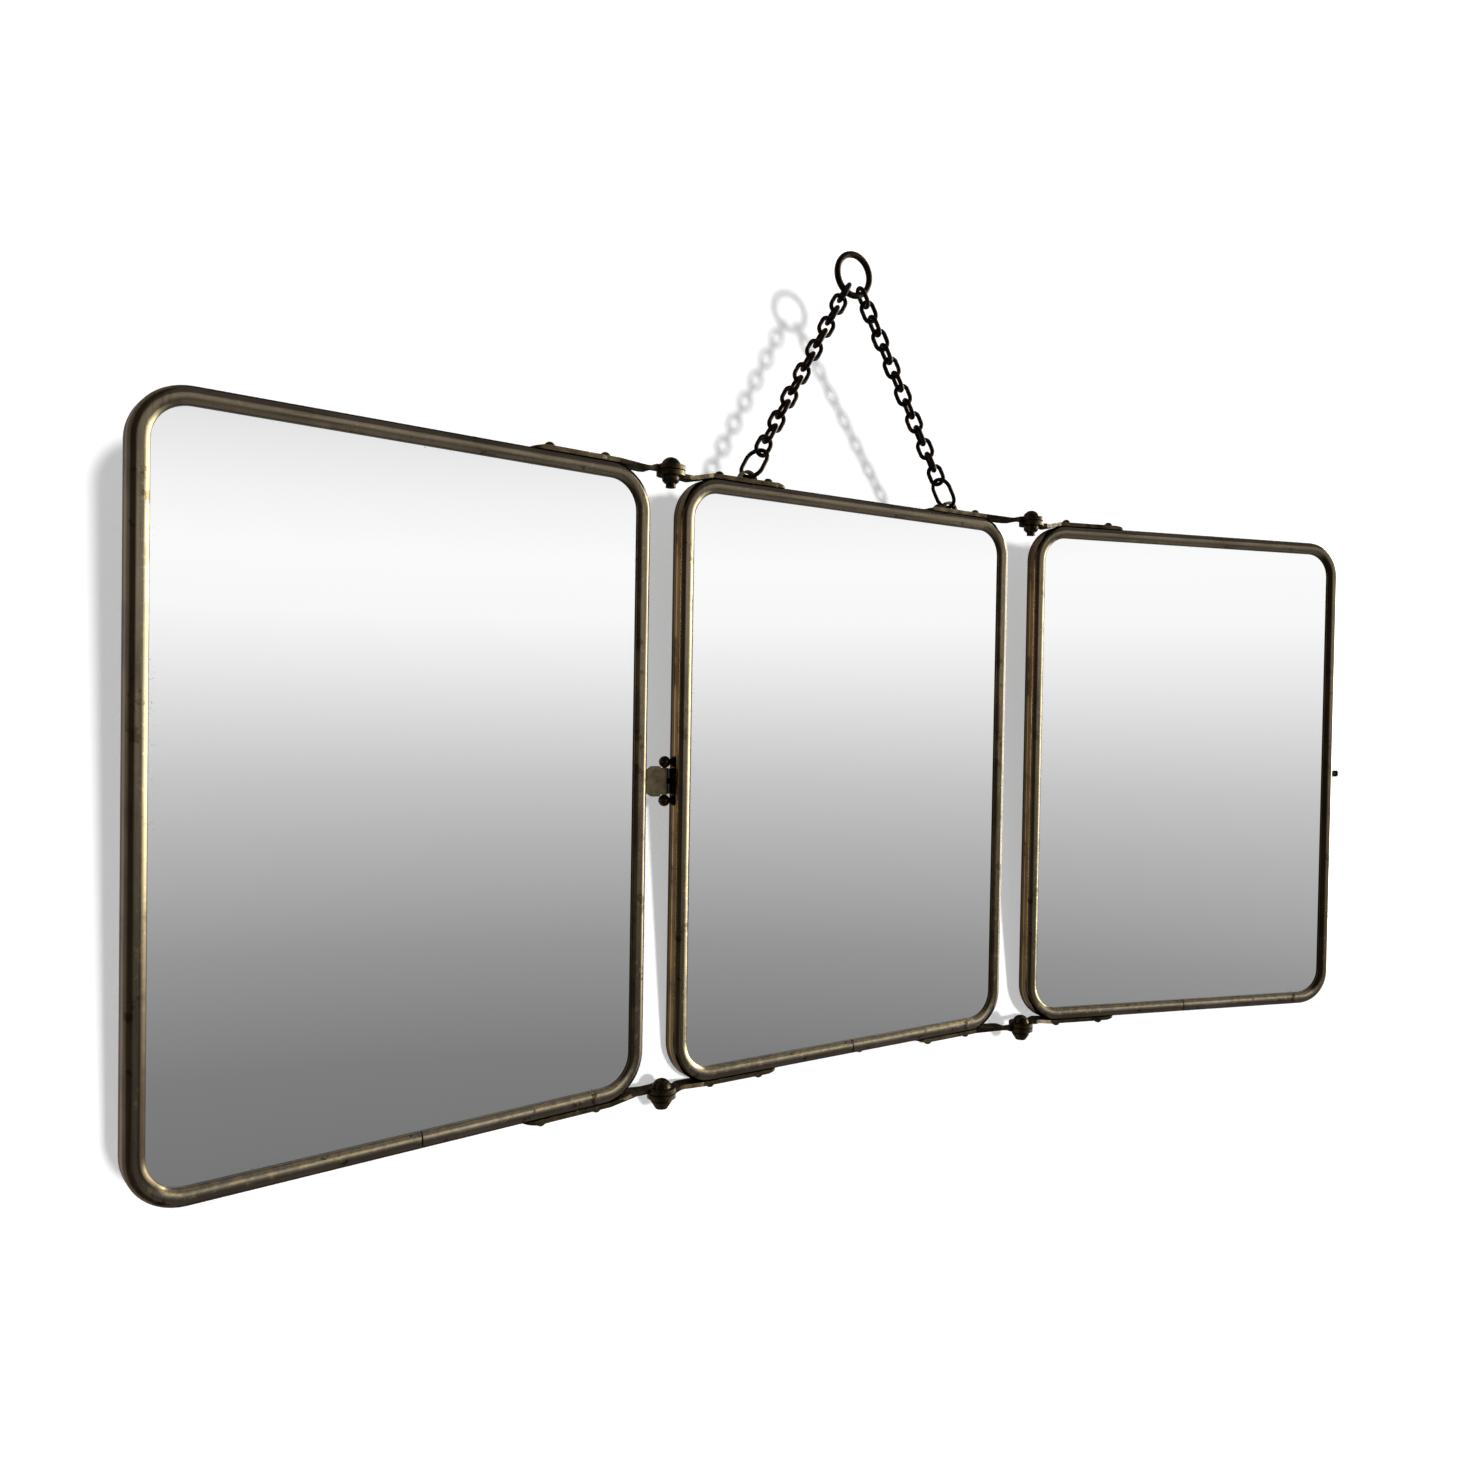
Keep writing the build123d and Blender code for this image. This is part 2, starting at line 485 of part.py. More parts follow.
def clasp_pin():
    """Pin with a ball on each end."""
    lift = (CLASP_BARREL_HEIGHT + CLASP_BALL) / 2 + CLASP_KNUCKLE_CLEARANCE
    pin = rod((CLASP_X, CLASP_Y, -lift), (CLASP_X, CLASP_Y, lift), CLASP_PIN)
    for end in (-1, 1):
        pin += Pos(CLASP_X, CLASP_Y, end * lift) * Sphere(CLASP_BALL / 2)
    return pin


def clasp_leaf():
    """Leaf that turns on the pin: a root folded over the pin, tapering to a tongue with a hole.

    It is made with the pin's axis on Z and the leaf towards -X, its back flat and its front sloping.
    """
    root, tongue, barrel = CLASP_ROOT_HEIGHT / 2, CLASP_TONGUE_HEIGHT / 2, CLASP_BARREL_HEIGHT / 2
    radius, clear_of_ball = CLASP_BARREL / 2, CLASP_BALL / 2 + CLASP_KNUCKLE_CLEARANCE
    shoulder = CLASP_ROOT_LENGTH + CLASP_SHOULDER_LENGTH
    end = CLASP_REACH + CLASP_TIP
    outline = [
        Polyline((0, -barrel), (-clear_of_ball, -barrel), (-clear_of_ball, -root),
                 (-CLASP_ROOT_LENGTH, -root), (-shoulder, -tongue), (tongue - end, -tongue)),
        ThreePointArc((tongue - end, -tongue), (-end, 0), (tongue - end, tongue)),
        Polyline((tongue - end, tongue), (-shoulder, tongue), (-CLASP_ROOT_LENGTH, root),
                 (-clear_of_ball, root), (-clear_of_ball, barrel), (0, barrel), (0, -barrel)),
    ]
    face = make_face(Wire([edge for run in outline for edge in run.edges()]))
    face -= Pos(-CLASP_REACH, 0) * Circle(CLASP_HOLE / 2)
    tongue_front = radius - CLASP_LEAF_THICKNESS
    profile = make_face(Polyline((0, -radius), (-shoulder, tongue_front), (-end, tongue_front),
                                 (-end, radius), (0, radius), close=True))
    leaf = extrude(profile, amount=root, both=True) & extrude(
        Plane.XZ * face, amount=CLASP_BARREL, both=True)
    leaf += rod((0, 0, -barrel), (0, 0, barrel), CLASP_BARREL)
    leaf -= rod((0, 0, -root), (0, 0, root), CLASP_PIN + 2 * RUNNING_CLEARANCE)
    room = CLASP_KNUCKLE / 2 + CLASP_KNUCKLE_CLEARANCE
    leaf -= rod((0, 0, -room), (0, 0, room), CLASP_KNUCKLE + 2 * CLASP_KNUCKLE_CLEARANCE)
    leaf -= Pos(CLASP_BARREL / 2, 0, 0) * Box(CLASP_BARREL, 2 * CLASP_BARREL, 2 * room)
    return Pos(CLASP_X, CLASP_Y, 0) * Rot(0, 0, CLASP_SHARE * LEFT_REST) * leaf


def latch_stud():
    """Split stud on the wing's outer edge, made on the flat wing with its neck at the leaf."""
    side = PANEL_WIDTH / 2
    neck_from = LEAF_FROM_SIDE - STUD_NECK_PLAY
    neck_to = LEAF_FROM_SIDE + CLASP_LEAF_THICKNESS + STUD_NECK_PLAY
    stud = rod((side, STUD_Y, 0), (side + neck_from, STUD_Y, 0), STUD_COLLAR)
    stud += rod((side + neck_from, STUD_Y, 0), (side + neck_to, STUD_Y, 0), STUD_NECK)
    head = rod((side + neck_to, STUD_Y, 0), (side + neck_to + STUD_HEAD_LENGTH, STUD_Y, 0), STUD_COLLAR)
    head = chamfer(head.edges().group_by(Axis.X)[-1], STUD_HEAD_LENGTH / 3)
    stud += head
    end = side + neck_to + STUD_HEAD_LENGTH
    slot = make_face(Polyline((end - STUD_SLOT_DEPTH, 0), (end + 0.1, STUD_SLOT),
                              (end + 0.1, -STUD_SLOT), close=True))
    stud -= Plane.XZ * extrude(slot, amount=2 * RIM_DEPTH, both=True)
    return stud


# ---------------------------------------------------------------- assembly
def wing_location(side):
    """Where a wing's flat panel goes at rest: out to its side, then turned about its pivot."""
    pivot_y = LEFT_PIVOT_Y if side < 0 else RIGHT_PIVOT_Y
    angle = LEFT_REST if side < 0 else -RIGHT_REST
    pivot = Pos(side * PIVOT_X, pivot_y, 0)
    return pivot * Rot(0, 0, angle) * pivot.inverse() * Pos(side * WING_SHIFT, 0, 0)


def panel_nodes(name, corners, place, extra_holes=()):
    """The nodes of one panel. corners lists its straps as (side, upward, pivot_y, outer, turning)."""
    body = rim()
    rivets = []
    nodes = {}
    for side, upward, pivot_y, outer_eye, turning in corners:
        pivot_x = side * PIVOT_X
        for hole in rivet_holes():
            body -= place_corner(hole, pivot_x, -side, upward)
        rivets += [place_corner(rivet, pivot_x, -side, upward) for rivet in strap_rivets()]
        blank = strap(pivot_y, outer_eye, turning)
        if name == "centre" and upward > 0:
            blank += bridge(LEFT_BRIDGE_AT if side < 0 else RIGHT_BRIDGE_AT)
        level = "top" if upward > 0 else "bottom"
        end = ("left" if side < 0 else "right") + "_" if name == "centre" else ""
        nodes[f"{name}_{level}_{end}strap"] = place_corner(blank, pivot_x, -side, upward)
    for hole in extra_holes:
        body -= hole
    nodes[f"{name}_strap_rivets"] = Compound(children=rivets)
    nodes[f"{name}_rim"] = body
    nodes[f"{name}_glass"] = glass()
    nodes[f"{name}_packing_card"] = packing_card()
    nodes[f"{name}_back_plate"] = back_plate()
    nodes[f"{name}_rim_splice"] = splice()
    return {key: place * shape for key, shape in nodes.items()}


def build():
    left, right = -1, 1
    nodes = {}

    # Which strap of each hinge has the outer eye: the wing's at the top left, else the centre's.
    wing_is_outer = {(left, 1): True, (left, -1): False, (right, 1): False, (right, -1): False}
    pivot_y = {left: LEFT_PIVOT_Y, right: RIGHT_PIVOT_Y}

    centre_corners = [(side, upward, pivot_y[side], not wing_is_outer[side, upward], False)
                      for side in (left, right) for upward in (1, -1)]
    below = -PANEL_HEIGHT / 2
    screw_hole = rod((SPLICE_SCREW_AT, STRAP_MIDDLE_Y, below - 1),
                     (SPLICE_SCREW_AT, STRAP_MIDDLE_Y, below + GLASS_EDGE), SPLICE_SCREW_SHANK)
    nodes.update(panel_nodes("centre", centre_corners, Location(), [screw_hole]))
    nodes["centre_rim_splice"] -= screw_hole
    nodes["centre_splice_screw"] = splice_screw()

    # A wing's straps start at its inner edge, so its corners are those of the mirrored side.
    for side, name in ((left, "left_wing"), (right, "right_wing")):
        flat_corners = [(-side, upward, pivot_y[side], wing_is_outer[side, upward], True)
                        for upward in (1, -1)]
        nodes.update(panel_nodes(name, flat_corners, wing_location(side)))
    nodes["latch_stud"] = wing_location(right) * latch_stud()

    screws, washers, top_nuts, bottom_nuts = [], [], [], []
    for side in (left, right):
        for upward in (1, -1):
            parts = hinge_hardware(pivot_y[side], upward, wing_is_outer[side, upward])
            screw, washer, nut = (place_corner(part, side * PIVOT_X, -side, upward) for part in parts)
            screws.append(screw)
            washers.append(washer)
            (top_nuts if upward > 0 else bottom_nuts).append(nut)
    nodes["hinge_screws"] = Compound(children=screws)
    nodes["hinge_washers"] = Compound(children=washers)
    nodes["top_hinge_nuts"] = Compound(children=top_nuts)
    nodes["bottom_hinge_nuts"] = Compound(children=bottom_nuts)

    for side, name in ((left, "left"), (right, "right")):
        links, eye = strand(side)
        nodes[f"{name}_chain_links"] = Compound(children=links)
        nodes[f"{name}_eye_link"] = eye
    nodes["hanging_ring"] = ring()

    nodes["clasp_base"] = clasp_base()
    nodes["clasp_pin"] = clasp_pin()
    nodes["clasp_leaf"] = clasp_leaf()
    return nodes


os.makedirs("parts", exist_ok=True)
for node, shape in build().items():
    export_step(TO_ORIGIN * shape, f"parts/{node}.step")
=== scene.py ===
"""The trifold mirror's looks: its materials, a pale studio and the camera.

Metres, in the row frame.
"""

import json
import math
from collections import namedtuple

import bpy
from mathutils import Matrix, Vector

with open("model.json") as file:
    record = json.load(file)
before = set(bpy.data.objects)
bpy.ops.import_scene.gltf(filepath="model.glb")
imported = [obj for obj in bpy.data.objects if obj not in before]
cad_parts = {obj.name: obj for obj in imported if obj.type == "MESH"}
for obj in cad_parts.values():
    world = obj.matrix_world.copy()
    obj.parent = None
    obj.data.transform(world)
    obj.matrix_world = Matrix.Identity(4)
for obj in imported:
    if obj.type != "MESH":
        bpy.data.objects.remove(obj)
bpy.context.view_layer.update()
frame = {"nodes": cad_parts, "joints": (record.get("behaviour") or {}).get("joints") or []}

# ---------------------------------------------------------------- the panels
PANEL_WIDTH = 0.186
PANEL_HEIGHT = 0.250
PANEL_GAP = 0.014
CORNER_RADIUS = 0.018
SIDE_X = PANEL_WIDTH / 2     # a panel's sides, from its middle
FOOT_Z = -PANEL_HEIGHT / 2   # and its bottom edge
FRONT_Y = -0.0078            # the centre panel's front plane
MIDDLE_X = 0.00175           # the centre panel's middle
MIDDLE_Z = -0.234305         # the panels' mid height

# inward, from a panel's outline, and behind its front plane
CROWN_AT = 0.0030            # top of the rim's rounded front
GLASS_FROM = 0.0062
RIM_DEPTH = 0.008
SIDE_GROOVE_AT = 0.005       # depth of the fine line round the rim's side
BRASS_LINE_AT = SIDE_GROOVE_AT - 0.0007

# zones of a panel, each as (where it begins, where it is full)
SIDE_RAILS = (SIDE_X - CORNER_RADIUS, SIDE_X - CORNER_RADIUS / 2)     # by distance from x = 0
LEFT_RAIL = (0.012 - SIDE_X, 0.009 - SIDE_X)                          # by x
RIGHT_RAIL = (SIDE_X - 0.012, SIDE_X - 0.009)
BOTTOM_RAIL = (FOOT_Z + 0.0100, FOOT_Z + 0.0068)                      # by z
LOW_DOWN = (0.0, FOOT_Z + 0.012)
SHADED_RAIL_PART = (0.010, -0.060)
SHADED_UNDERSIDE = (FOOT_Z + 0.0016, FOOT_Z + 0.0002)
INSIDE_CROWN = (CROWN_AT - 0.0004, CROWN_AT + 0.0020)                 # inward from the outline
FLECKED = (0.0020, 0.0034)
SHADED_FLANK = (0.0034, 0.0044)
BARE_FLANK = (0.0034, 0.0048)
WORN_EDGE = (GLASS_FROM - 0.0020, GLASS_FROM - 0.0006)
BY_THE_GLASS = (GLASS_FROM - 0.0004, GLASS_FROM - 0.0001)
GLASS_EDGE = (0.0090, 0.0064)
OUTER_SIDE = (0.0012, 0.0008)
BROWN_BACK = (SIDE_GROOVE_AT - 0.0039, SIDE_GROOVE_AT - 0.0027)       # by depth
SHADED_REAR_LIP = (RIM_DEPTH - 0.0026, RIM_DEPTH - 0.0014)
BRASS_LINE_WIDTH = (0.0007, 0.0003)                                   # by distance from the line
GROOVE_WIDTH = (0.00035, 0.00015)                                     # and from the groove

# how dark the painted shade on each wing's rail is, which dims its reflection: (left rail low down,
# right rail over its whole height)
RAIL_SHADES = {"centre": (0.0, 0.0), "left_wing": (0.85, 0.0), "right_wing": (0.0, 0.75)}

# ---------------------------------------------------------------- colours
# the rims: a pair is the tone of the dark patches and of the light ones
# the nickel is painted darker outside the crown and lighter inside it, as painted shade and painted
# light for what it reflects
SHADED_OUTER_NICKEL = (0.136, 0.108, 0.075), (0.187, 0.151, 0.106)
LIT_INNER_NICKEL = (0.234, 0.192, 0.129), (0.309, 0.256, 0.173)
FOOT_NICKEL = (0.225, 0.214, 0.202), (0.310, 0.298, 0.284)
BROWN_BRASS = (0.138, 0.093, 0.043), (0.266, 0.188, 0.093)
# painted shade on the side rails' inner part
SHADED_SIDE_NICKEL = (0.133, 0.112, 0.075)
STREAK = (0.059, 0.046, 0.029)
SPECK = (0.037, 0.025, 0.014)
WORN_BRASS = (0.553, 0.450, 0.242)
BARE_BRASS = (0.532, 0.410, 0.217)
FLECK = (0.480, 0.380, 0.210)
BLOT = (0.048, 0.030, 0.016)
RAIL_SHADE = (0.053, 0.038, 0.027)
BRIGHT_LINE = (0.660, 0.430, 0.175)
GRIME_AND_SHADE = (0.019, 0.013, 0.007)

SILVER = (0.955, 0.960, 0.957)
AGED_SILVER = (0.30, 0.28, 0.25)
BOARD = (0.20, 0.145, 0.085), (0.34, 0.26, 0.165)
JAPANNING = (0.030, 0.027, 0.024), (0.085, 0.062, 0.042)
DUST = (0.22, 0.20, 0.17)
SCRATCH = (0.36, 0.34, 0.31)
PAPER = (0.80, 0.80, 0.80), (0.82, 0.82, 0.82)

# tarnished metals: dark tarnish, light tarnish, bare metal, and what else tarnished() is told
METALS = {
    "strap_brass": ((0.019, 0.013, 0.007), (0.096, 0.070, 0.038), (0.660, 0.540, 0.317),
                    {"bare_from": (0.60, 0.68)}),
    "rivet_brass": ((0.023, 0.017, 0.011), (0.074, 0.055, 0.033), (0.319, 0.250, 0.142),
                    {"scale": 300.0}),
    "hinge_brass": ((0.013, 0.009, 0.006), (0.051, 0.038, 0.022), (0.319, 0.250, 0.133),
                    {"scale": 220.0, "roughness": (0.36, 0.18)}),
    "chain_wire": ((0.009, 0.005, 0.004), (0.028, 0.016, 0.011), (0.106, 0.080, 0.058),
                   {"scale": 260.0, "roughness": (0.62, 0.42), "bare_from": (0.66, 0.78)}),
    "clasp_leaf_brass": ((0.176, 0.138, 0.083), (0.271, 0.215, 0.133), (0.447, 0.350, 0.200),
                         {"scale": 180.0, "roughness": (0.58, 0.44), "bare_from": (0.66, 0.78)}),
    "clasp_pin_brass": ((0.015, 0.010, 0.006), (0.053, 0.036, 0.018), (0.319, 0.240, 0.117),
                        {"scale": 260.0, "roughness": (0.26, 0.14)}),
    "splice_brass": ((0.213, 0.140, 0.050), (0.447, 0.310, 0.125), (0.691, 0.500, 0.200), {}),
}
# the ends of the names of the nodes that each of them goes on
METAL_NODES = {
    "strap_brass": ("strap",),
    "rivet_brass": ("rivets",),
    "hinge_brass": ("washers", "nuts", "screws", "screw"),
    "chain_wire": ("links", "link", "ring"),
    "clasp_leaf_brass": ("leaf",),
    # the clasp's base has the pin's dark tarnish; as a dark plate behind the leaf it also stands in
    # for the shade there
    "clasp_pin_brass": ("base", "pin", "stud"),
    "splice_brass": ("splice",),
}

# ---------------------------------------------------------------- what is reflected
# slope is a ray's rise over its level run. bearing is in radians: 0 to the front, a quarter turn to
# the right, and half a turn at the wall. turn is the bearing's size.
LEAST_LEVEL_RUN = 0.05       # keeps the slope finite straight up and down

# the glass shows one soft gradient all round, as (slope, grey), and a plain grey below and above it
GRADIENT_REACH = 0.40
GRADIENT = ((-0.40, 0.19), (-0.31, 0.215), (-0.26, 0.262), (-0.21, 0.315), (-0.163, 0.395),
            (-0.1155, 0.475), (-0.063, 0.58), (-0.016, 0.71), (0.031, 0.85), (0.078, 0.97),
            (0.13, 1.0), (0.178, 0.93), (0.224, 0.83), (0.27, 0.70))
BELOW_GRADIENT = (-0.45, -1.60)
ABOVE_GRADIENT = (0.27, 0.90)
BELOW_GREY = (0.66, 0.66, 0.66)
ABOVE_GREY = (0.92, 0.92, 0.92)

# the metals show a room, as (measure, where a part of it begins, where it is full, tone)
ROOM = (
    ("slope", 0.25, 0.36, (0.244, 0.243, 0.266)),        # high up
    ("slope", -0.38, -0.50, (0.282, 0.270, 0.282)),      # low down
    ("bearing", 0.22, -0.12, (0.094, 0.080, 0.066)),     # the left side
    ("bearing", 1.85, 2.20, (0.033, 0.030, 0.030)),      # the corner past the window
    ("bearing", -1.00, -1.60, (0.395, 0.370, 0.360)),    # the doorway
    ("turn", 2.60, 2.95, (0.235, 0.220, 0.216)),         # the wall behind
)
WINDOW_BEGINS = (0.82, 0.94)                             # by bearing
PANE_BEGINS = (0.98, 1.25)
WINDOW_ENDS = (2.20, 1.85)
WINDOW_REACH = (0.52, 0.38)                              # by slope, up and down
SILL = (-0.34, -0.06)                                    # by slope, from the sill to the pane
FRAME_TONE = (3.95, 4.00, 3.72)
PANE_TONE = (11.28, 11.30, 9.36)
SILL_TONE = (1.22, 1.20, 1.14)

SEEN_WHITE = (1.0, 1.0, 1.0)
MATT_LIGHT = (0.14, 0.14, 0.14)

# ---------------------------------------------------------------- stage and camera
WALL_Y = 0.0444              # the backdrop's depth at the nail
WALL_LEAN = 0.122            # how much deeper it is for each metre up
WALL_TOP_Z = 1.5
FLOOR_Z = -0.80
FLOOR_NEAR_Y, FLOOR_FAR_Y = -4.0, 3.0
STAGE_SIDE_X = 3.0
WALL_GLOW = 0.42
FLOOR_GLOW = 0.85

CAMERA_AT = Vector((-0.31615, -0.3986, -0.204705))
CAMERA_YAW = 32.43           # degrees from the +Y direction towards +X
CAMERA_PITCH = -0.96
CAMERA_ROLL = 0.93
LENS_MM = 27.52
SENSOR_MM = 36.0


# ---------------------------------------------------------------- shader graphs
class Graph:
    """A material or world node tree, with one short call for each kind of node."""

    def __init__(self, owner):
        owner.use_nodes = True
        self.tree = owner.node_tree
        self.tree.nodes.clear()

    def node(self, kind, inputs=None, **settings):
        """A new node with its settings, and its inputs fed by name or number."""
        made = self.tree.nodes.new(kind)
        for key, value in settings.items():
            setattr(made, key, value)
        for key, value in (inputs or {}).items():
            self.feed(made.inputs[key], value)
        return made

    def feed(self, socket, value):
        """Links an output to the socket, or stores a plain value: three numbers for a colour."""
        if isinstance(value, bpy.types.NodeSocket):
            self.tree.links.new(value, socket)
        elif value is not None:
            socket.default_value = (*value, 1.0) if socket.type == "RGBA" else value

    def math(self, operation, *values):
        """A maths node on one or two values, and one more for each value after those."""
        made = self.node("ShaderNodeMath", dict(enumerate(values[:2])), operation=operation)
        result = made.outputs[0]
        return self.math(operation, result, *values[2:]) if values[2:] else result

    def times(self, *values):
        return self.math("MULTIPLY", *values)

    def plus(self, *values):
        return self.math("ADD", *values)

    def size(self, value):
        return self.math("ABSOLUTE", value)

    def away_from(self, place, value):
        return self.size(self.math("SUBTRACT", value, place))

    def ramp(self, value, low, high):
        """0 at low and 1 at high, held beyond them. low may be above high."""
        return self.node("ShaderNodeMapRange", {"Value": value, "From Min": low, "From Max": high},
                         interpolation_type="SMOOTHSTEP").outputs["Result"]

    def mix(self, share, first, second):
        """A colour share of the way from first to second."""
        return self.node("ShaderNodeMix", {0: share, 6: first, 7: second},
                         data_type="RGBA").outputs[2]

    def blend_numbers(self, share, first, second):
        return self.node("ShaderNodeMix", {0: share, 2: first, 3: second},
                         data_type="FLOAT").outputs[0]

    def coordinates(self):
        return self.node("ShaderNodeTexCoord").outputs["Object"]

    def split(self, vector):
        return self.node("ShaderNodeSeparateXYZ", {0: vector}).outputs

    def noise(self, vector, scale, detail=4.0, roughness=0.55):
        return self.node("ShaderNodeTexNoise", {"Vector": vector, "Scale": scale, "Detail": detail,
                                                "Roughness": roughness}).outputs["Fac"]

    def stretched(self, vector, scale):
        return self.node("ShaderNodeMapping", {"Vector": vector, "Scale": scale}).outputs[0]

    def bump(self, height, strength, distance):
        return self.node("ShaderNodeBump", {"Height": height, "Strength": strength,
                                            "Distance": distance}).outputs[0]

    def principled(self, color, roughness, metallic=1.0, normal=None):
        return self.node("ShaderNodeBsdfPrincipled",
                         {"Base Color": color, "Roughness": roughness, "Metallic": metallic,
                          "Normal": normal}).outputs[0]

    def finish(self, shader, output="ShaderNodeOutputMaterial"):
        self.node(output, {"Surface": shader})


def material(name):
    made = bpy.data.materials.new(name)
    return made, Graph(made)


# ---------------------------------------------------------------- the panels' own coordinates
PanelPoint = namedtuple("PanelPoint", "vector x depth z inward")


def panel_places():
    """Each panel's centre on its front plane, and how far it is turned about Z, at rest."""
    joints = {joint["name"]: joint for joint in frame["joints"]}
    places = {"centre": (Vector((MIDDLE_X, FRONT_Y, MIDDLE_Z)), 0.0)}
    for wing, side in (("left_wing", -1), ("right_wing", 1)):
        joint = joints[f"{wing}_fold"]
        turn = side * math.radians(joint["range_deg"][0])
        pivot = Vector(joint["pos_m"])
        flat = Vector((MIDDLE_X + side * (PANEL_WIDTH + PANEL_GAP), FRONT_Y, MIDDLE_Z))
        places[wing] = (pivot + Matrix.Rotation(turn, 3, "Z") @ (flat - pivot), turn)
    return places


def panel_coordinates(graph, place):
    """The point on a panel, from the middle of its front: inward is how far in from the outline."""
    centre, turn = place
    mapping = {"Vector": graph.coordinates(), "Location": centre, "Rotation": (0, 0, turn)}
    vector = graph.node("ShaderNodeMapping", mapping, vector_type="TEXTURE").outputs[0]
    x, depth, z = graph.split(vector)
    over = [graph.math("SUBTRACT", graph.size(value), length / 2 - CORNER_RADIUS)
            for value, length in ((x, PANEL_WIDTH), (z, PANEL_HEIGHT))]
    squares = [graph.math("POWER", graph.math("MAXIMUM", value, 0.0), 2.0) for value in over]
    corner = graph.math("SQRT", graph.plus(*squares))
    straight = graph.math("MINIMUM", graph.math("MAXIMUM", *over), 0.0)
    inward = graph.math("SUBTRACT", CORNER_RADIUS, graph.plus(corner, straight))
    return PanelPoint(vector, x, depth, z, inward)


# ---------------------------------------------------------------- the rims
def rim_streaks(graph, at, at_side):
    """Noise drawn out along the rails: upright on the side rails and level on the other two."""
    upright, level = (graph.noise(graph.stretched(at.vector, squeeze), scale=900.0, detail=3.0)
                      for squeeze in ((1.0, 1.0, 0.04), (0.04, 1.0, 1.0)))
    return graph.blend_numbers(at_side, level, upright)


def rim_plate(graph, at, patches, at_side, at_foot):
    """The nickel in tones by zone: painted shade outside the crown and on the side rails' inner
    part, painted light on the inner flank, and greyer on the bottom rail.
    """
    light = graph.ramp(patches, 0.34, 0.64)
    inner = graph.mix(light, *LIT_INNER_NICKEL)
    inner = graph.mix(graph.times(at_side, 0.75), inner, SHADED_SIDE_NICKEL)
    inner = graph.mix(graph.times(at_foot, 0.8), inner, graph.mix(light, *FOOT_NICKEL))
    return graph.mix(graph.ramp(at.inward, *INSIDE_CROWN), graph.mix(light, *SHADED_OUTER_NICKEL), inner)


def rim_wear(graph, at, color, patches, at_foot):
    """Brass showing through: along the inner edge, on the bottom rail's flank and in flecks."""
    worn = graph.times(graph.ramp(at.inward, *WORN_EDGE), graph.ramp(patches, 0.52, 0.62), 0.35)
    color = graph.mix(worn, color, WORN_BRASS)

    chips = graph.noise(at.vector, scale=330.0, detail=5.0, roughness=0.7)
    share = graph.plus(0.35, graph.times(graph.ramp(chips, 0.44, 0.56), 0.5))
    bare = graph.times(at_foot, graph.ramp(at.inward, *BARE_FLANK), share)
    color = graph.mix(bare, color, BARE_BRASS)

    share = graph.blend_numbers(graph.ramp(at.z, *LOW_DOWN), 0.15, 0.45)
    flecks = graph.times(graph.ramp(chips, 0.565, 0.605), share, graph.ramp(at.inward, *FLECKED))
    return graph.mix(flecks, color, FLECK)


def rim_blots_and_shade(graph, at, color, rail_shades):
    """Dark blots, more of them low down, and painted shade down the inner flank of one rail of a
    wing.
    """
    blots = graph.ramp(graph.noise(at.vector, scale=95.0, detail=7.0, roughness=0.68), 0.590, 0.630)
    share = graph.blend_numbers(graph.ramp(at.z, *LOW_DOWN), 0.55, 0.85)
    color = graph.mix(graph.times(blots, share), color, BLOT)

    # painted shade on a wing's rail, where its reflection is dimmed
    on_left = graph.times(graph.ramp(at.x, *LEFT_RAIL), graph.ramp(at.z, *SHADED_RAIL_PART))
    on_right = graph.ramp(at.x, *RIGHT_RAIL)
    shade_share = graph.plus(graph.times(on_left, rail_shades[0]), graph.times(on_right, rail_shades[1]))
    return graph.mix(graph.times(shade_share, graph.ramp(at.inward, *SHADED_FLANK)), color, RAIL_SHADE)


def rim_side(graph, at, color, patches):
    """Browned brass round the side and the back, with a bright worn line beside the groove."""
    brown = graph.mix(graph.ramp(patches, 0.36, 0.62), *BROWN_BRASS)
    color = graph.mix(graph.ramp(at.depth, *BROWN_BACK), color, brown)
    on_line = graph.ramp(graph.away_from(BRASS_LINE_AT, at.depth), *BRASS_LINE_WIDTH)
    line = graph.times(graph.ramp(at.inward, *OUTER_SIDE), on_line,
                       graph.ramp(patches, 0.40, 0.54))
    return graph.mix(line, color, BRIGHT_LINE)


def rim_grime_and_shade(graph, at):
    """How dark the rim gets: dirt by the glass, darker in the groove, and painted shade on the rear
    lip and underneath.
    """
    in_groove = graph.ramp(graph.away_from(SIDE_GROOVE_AT, at.depth), *GROOVE_WIDTH)
    return graph.math("MAXIMUM", graph.times(graph.ramp(at.inward, *BY_THE_GLASS), 0.8),
                      graph.times(in_groove, 0.8),
                      # painted shade on the rear lip and along the underside
                      graph.times(graph.ramp(at.depth, *SHADED_REAR_LIP), 0.85),
                      graph.times(graph.ramp(at.z, *SHADED_UNDERSIDE), 0.7))


